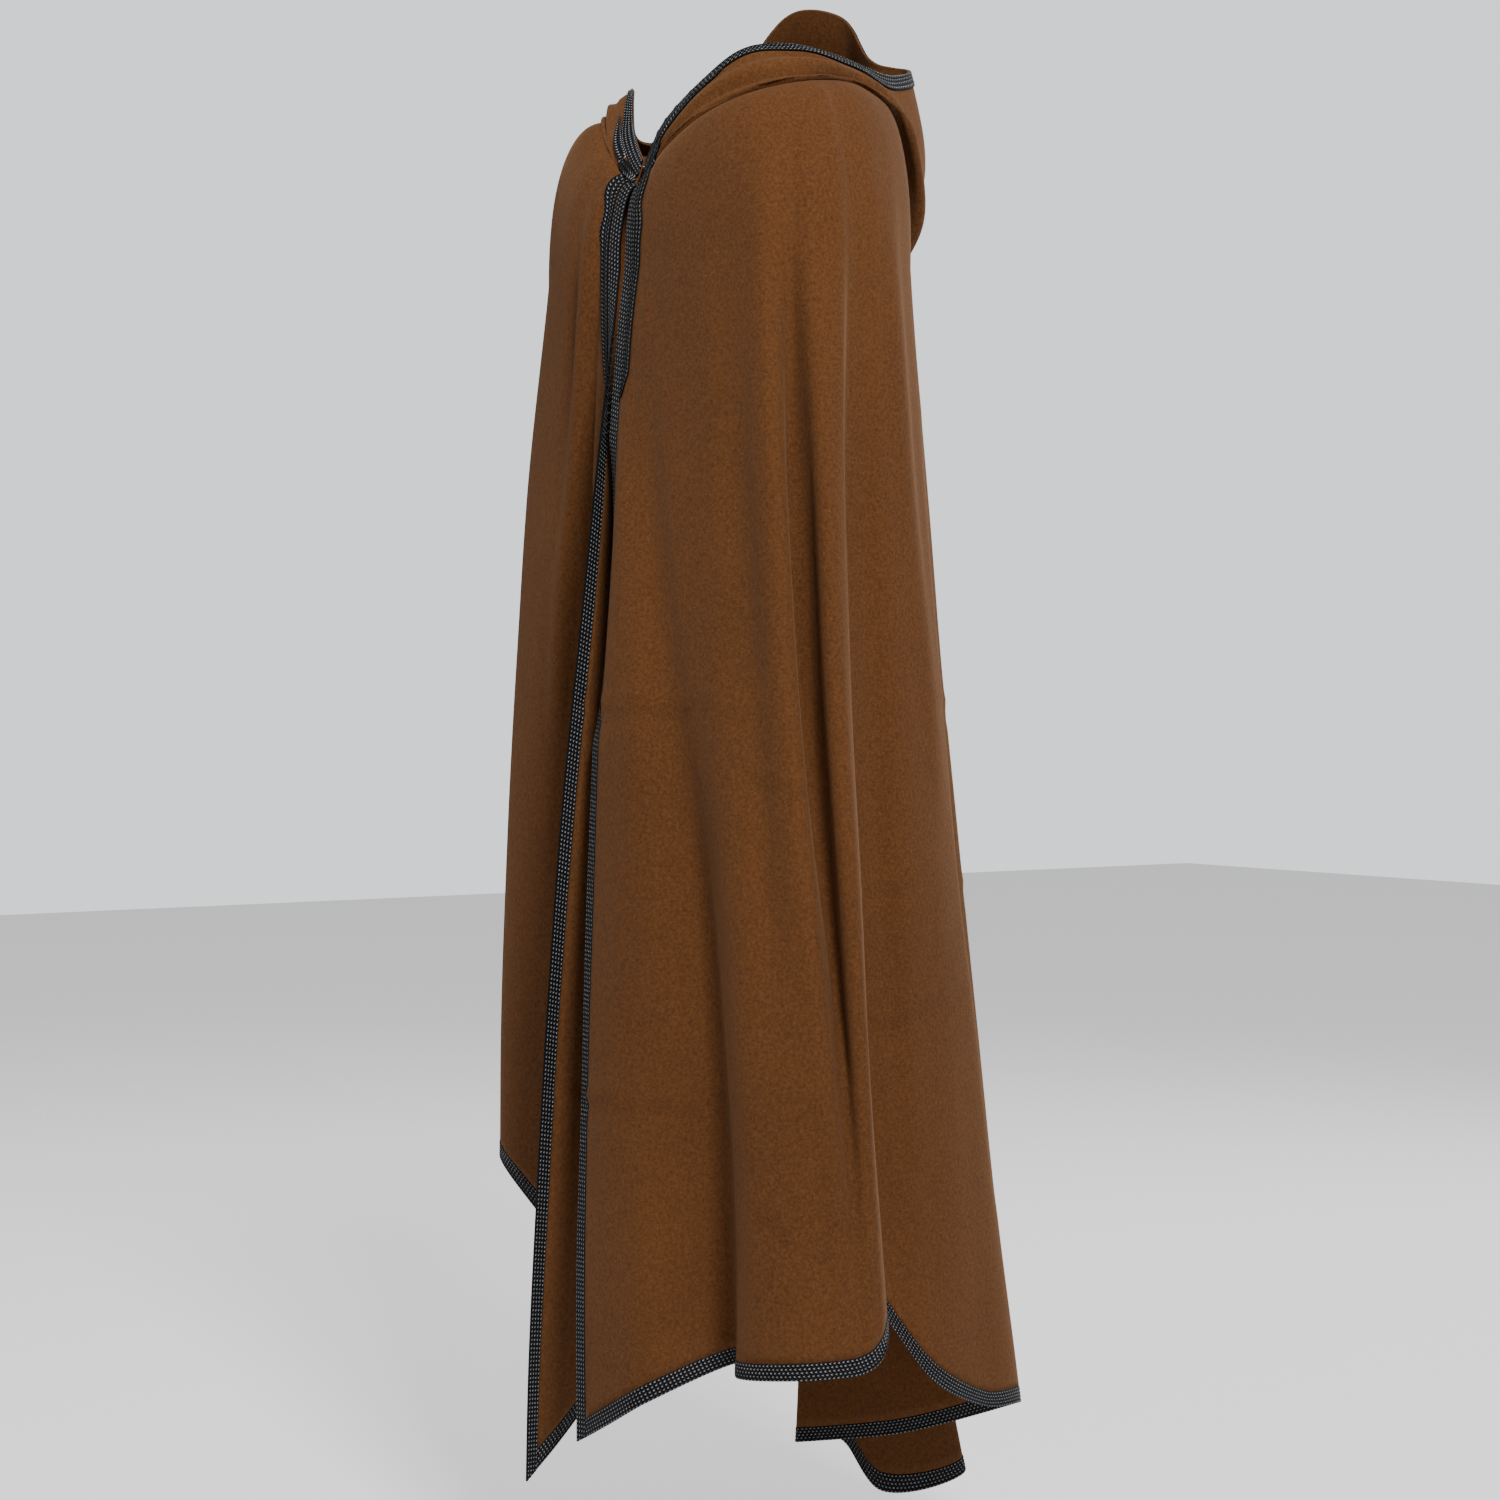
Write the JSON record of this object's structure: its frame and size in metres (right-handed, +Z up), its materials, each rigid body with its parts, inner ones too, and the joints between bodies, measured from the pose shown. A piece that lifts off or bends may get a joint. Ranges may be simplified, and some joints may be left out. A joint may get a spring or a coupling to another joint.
{
  "type": "burnous hooded cloak",
  "caption": "Floor-length hooded wool cloak hanging open down the front in deep folds, edged with dark corded braid.",
  "frame": {"origin": "where the cloak rests on the wearer, on the wearer's axis at the height of the shoulders", "axes": "+Z up, -Y to the wearer's front, +X to the wearer's left"},
  "size_m": [0.5572, 0.5181, 1.5573],
  "materials": {
    "wool": "matt fulled wool with a soft nap",
    "hood_wool": "matt fulled wool with a soft nap",
    "front_braid": "corded braid with a dull sheen",
    "hem_braid": "corded braid with a dull sheen",
    "hood_braid": "corded braid with a dull sheen",
    "chest_braid": "corded braid with a dull sheen"
  },
  "bodies": {
    "root": {"cloak_body": "wool", "hood": "hood_wool", "braid_front_left": "front_braid", "braid_front_right": "front_braid", "braid_hem": "hem_braid", "braid_hood": "hood_braid", "braid_chest_left": "chest_braid", "braid_chest_right": "chest_braid"}
  },
  "joints": []
}
